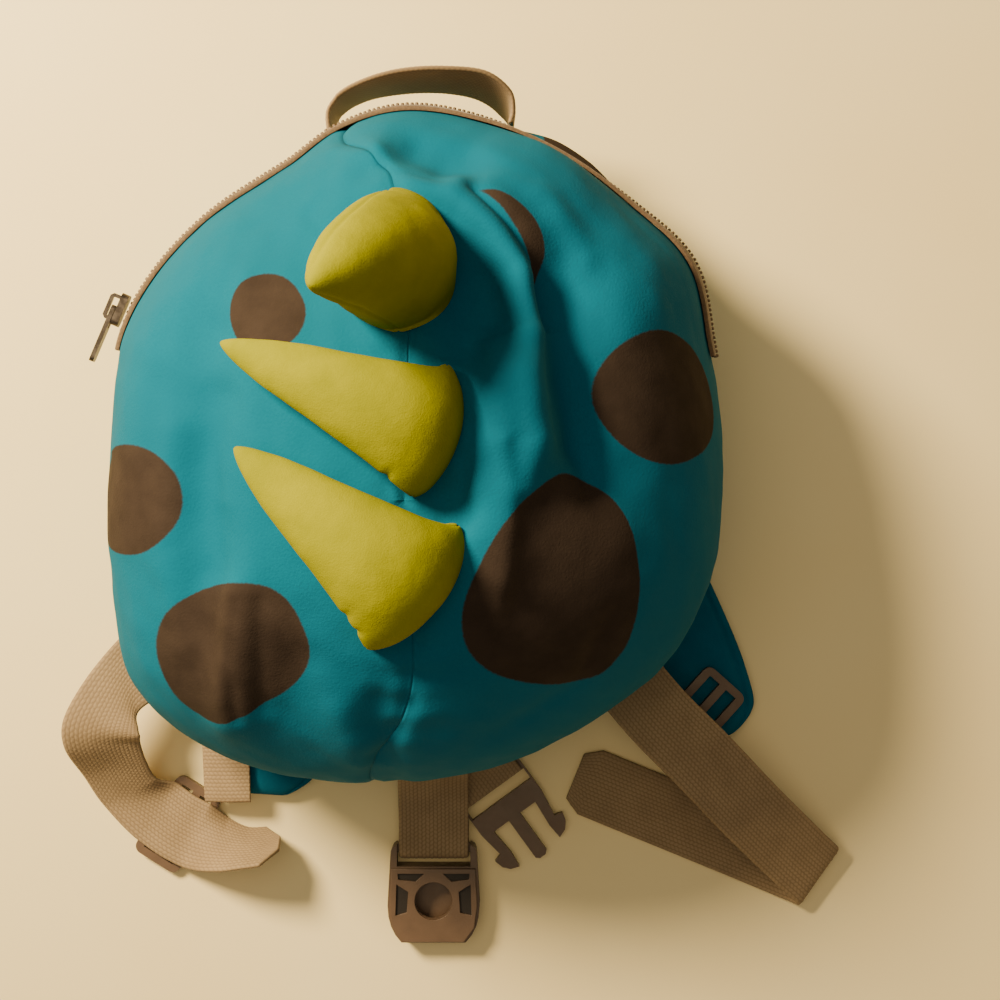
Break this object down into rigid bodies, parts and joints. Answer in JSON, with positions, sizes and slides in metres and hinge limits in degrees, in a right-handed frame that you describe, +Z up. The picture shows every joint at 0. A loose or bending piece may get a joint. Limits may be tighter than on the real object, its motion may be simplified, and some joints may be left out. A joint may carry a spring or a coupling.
{
  "type": "kids animal backpack",
  "caption": "Soft toddler backpack lying on its back, spotted cloth front with stuffed spikes, zip with a turning pull, webbing handle, padded straps and buckle halves",
  "frame": {"origin": "middle of the bounding box at its base, on the surface that the bag lies on", "axes": "+Z up out of the bag's front, +Y to the bag's top with the grab handle, +X to the right of the front as it is seen"},
  "size_m": [0.2748, 0.3002, 0.1815],
  "materials": {
    "cloth_teal": "soft matt teal cloth with dark brown printed spots",
    "back_padding": "matt padded cloth",
    "zip_tape": "woven tape with a nylon coil",
    "slider_metal": "dark painted metal",
    "spike_lime": "soft matt brushed cloth",
    "webbing": "ribbed woven webbing",
    "buckle_plastic": "moulded plastic"
  },
  "bodies": {
    "bag": {"front_panel_left": "cloth_teal", "front_panel_right": "cloth_teal", "side_band": "cloth_teal", "back_panel": "back_padding", "zip_tape": "zip_tape", "zip_slider": "slider_metal", "spike_top": "spike_lime", "spike_middle": "spike_lime", "spike_bottom": "spike_lime", "grab_handle": "webbing", "tether_strap": "webbing", "tether_buckle": "buckle_plastic", "prong_strap": "webbing", "prong_buckle": "buckle_plastic", "pad_left": "cloth_teal", "pad_right": "cloth_teal", "webbing_left": "webbing", "webbing_right": "webbing", "lock_tab_left": "webbing", "ladder_lock_left": "buckle_plastic", "ladder_lock_right": "buckle_plastic"},
    "pull": {"zip_pull": "slider_metal"}
  },
  "joints": [
    {"name": "pull_hinge", "type": "hinge", "parent": "bag", "child": "pull", "pos_m": [-0.11054, 0.07122, 0.0628], "axis": [-0.1128, 0.0608, -0.9918], "range_deg": [0, 140]}
  ]
}
